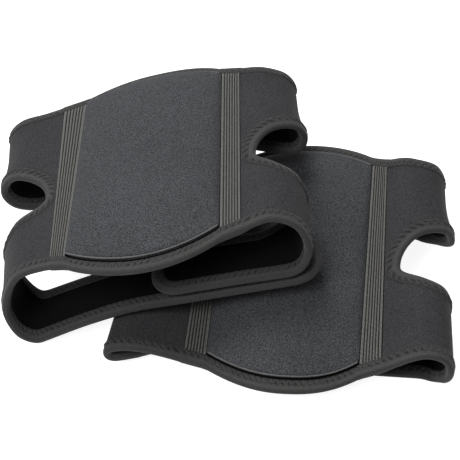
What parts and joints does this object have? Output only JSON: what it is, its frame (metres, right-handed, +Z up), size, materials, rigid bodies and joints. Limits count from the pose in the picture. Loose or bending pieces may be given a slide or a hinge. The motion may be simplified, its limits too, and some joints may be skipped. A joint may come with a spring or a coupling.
{
  "type": "knee pads",
  "caption": "Pair of sleeve knee pads: padded front panel, elastic webbing strips and notched neoprene wings whose thigh and calf straps overlap behind the leg.",
  "frame": {"origin": "on the floor under the middle of the pair's box", "axes": "+Z up from the floor the pair lies on, +X across both pads, +Y along the legs, from the end nearest the viewer"},
  "size_m": [0.3561, 0.2938, 0.1201],
  "materials": {
    "cushion_fabric": "matte knitted nylon laminated on neoprene",
    "wing_neoprene": "matte knitted nylon on both faces of neoprene",
    "strap_neoprene": "matte knitted nylon on both faces of neoprene",
    "lining": "matte brushed knit",
    "foam": "open cell foam",
    "elastic_webbing": "ribbed woven elastic, dull",
    "binding_tape": "matte folded tape",
    "hook_tape": "nylon hooks",
    "loop_tape": "brushed nylon loop"
  },
  "bodies": {
    "left_panel": {"left_calf_edge_binding": "binding_tape", "left_cover": "cushion_fabric", "left_foam": "foam", "left_liner": "lining", "left_long_side_notch_binding": "binding_tape", "left_long_side_webbing": "elastic_webbing", "left_long_side_wing": "wing_neoprene", "left_short_side_notch_binding": "binding_tape", "left_short_side_webbing": "elastic_webbing", "left_short_side_wing": "wing_neoprene", "left_thigh_edge_binding": "binding_tape"},
    "left_long_straps": {"left_calf_hook_patch": "hook_tape", "left_calf_long_strap": "strap_neoprene", "left_calf_long_strap_binding": "binding_tape", "left_thigh_hook_patch": "hook_tape", "left_thigh_long_strap": "strap_neoprene", "left_thigh_long_strap_binding": "binding_tape"},
    "left_calf_short_strap": {"left_calf_loop_patch": "loop_tape", "left_calf_short_strap": "strap_neoprene", "left_calf_short_strap_binding": "binding_tape"},
    "left_thigh_short_strap": {"left_thigh_loop_patch": "loop_tape", "left_thigh_short_strap": "strap_neoprene", "left_thigh_short_strap_binding": "binding_tape"},
    "right_panel": {"right_calf_edge_binding": "binding_tape", "right_calf_loop_patch": "loop_tape", "right_calf_short_strap": "strap_neoprene", "right_calf_short_strap_binding": "binding_tape", "right_cover": "cushion_fabric", "right_foam": "foam", "right_liner": "lining", "right_long_side_notch_binding": "binding_tape", "right_long_side_webbing": "elastic_webbing", "right_long_side_wing": "wing_neoprene", "right_short_side_notch_binding": "binding_tape", "right_short_side_webbing": "elastic_webbing", "right_short_side_wing": "wing_neoprene", "right_thigh_edge_binding": "binding_tape"},
    "right_long_straps": {"right_calf_hook_patch": "hook_tape", "right_calf_long_strap": "strap_neoprene", "right_calf_long_strap_binding": "binding_tape", "right_thigh_hook_patch": "hook_tape", "right_thigh_long_strap": "strap_neoprene", "right_thigh_long_strap_binding": "binding_tape"},
    "right_thigh_short_strap": {"right_thigh_loop_patch": "loop_tape", "right_thigh_short_strap": "strap_neoprene", "right_thigh_short_strap_binding": "binding_tape"}
  },
  "joints": [
    {"name": "right_pad_open", "type": "hinge", "parent": "right_long_straps", "child": "right_panel", "pos_m": [0.17274, -0.03816, 0.03456], "axis": [0.0518, 0.9985, 0.0196], "range_deg": [0, 110]},
    {"name": "right_thigh_strap_peel", "type": "hinge", "parent": "right_panel", "child": "right_thigh_short_strap", "pos_m": [-0.06377, -0.01446, 0.02003], "axis": [-0.1854, -0.9827, -0.0054], "range_deg": [0, 4]},
    {"name": "left_pad_lift", "type": "slide", "parent": "right_panel", "child": "left_long_straps", "axis": [0, 0, 1], "range_m": [0, 0.25]},
    {"name": "left_pad_open", "type": "hinge", "parent": "left_long_straps", "child": "left_panel", "pos_m": [-0.17181, 0.01957, 0.02485], "axis": [0.0637, -0.9978, 0.0196], "range_deg": [0, 120]},
    {"name": "left_thigh_strap_peel", "type": "hinge", "parent": "left_panel", "child": "left_thigh_short_strap", "pos_m": [0.05414, 0.02677, 0.08031], "axis": [-0.0345, 0.9977, -0.0591], "range_deg": [0, 14]},
    {"name": "left_calf_strap_peel", "type": "hinge", "parent": "left_panel", "child": "left_calf_short_strap", "pos_m": [0.05414, 0.02677, 0.08031], "axis": [-0.0345, 0.9977, -0.0591], "range_deg": [0, 8]}
  ]
}
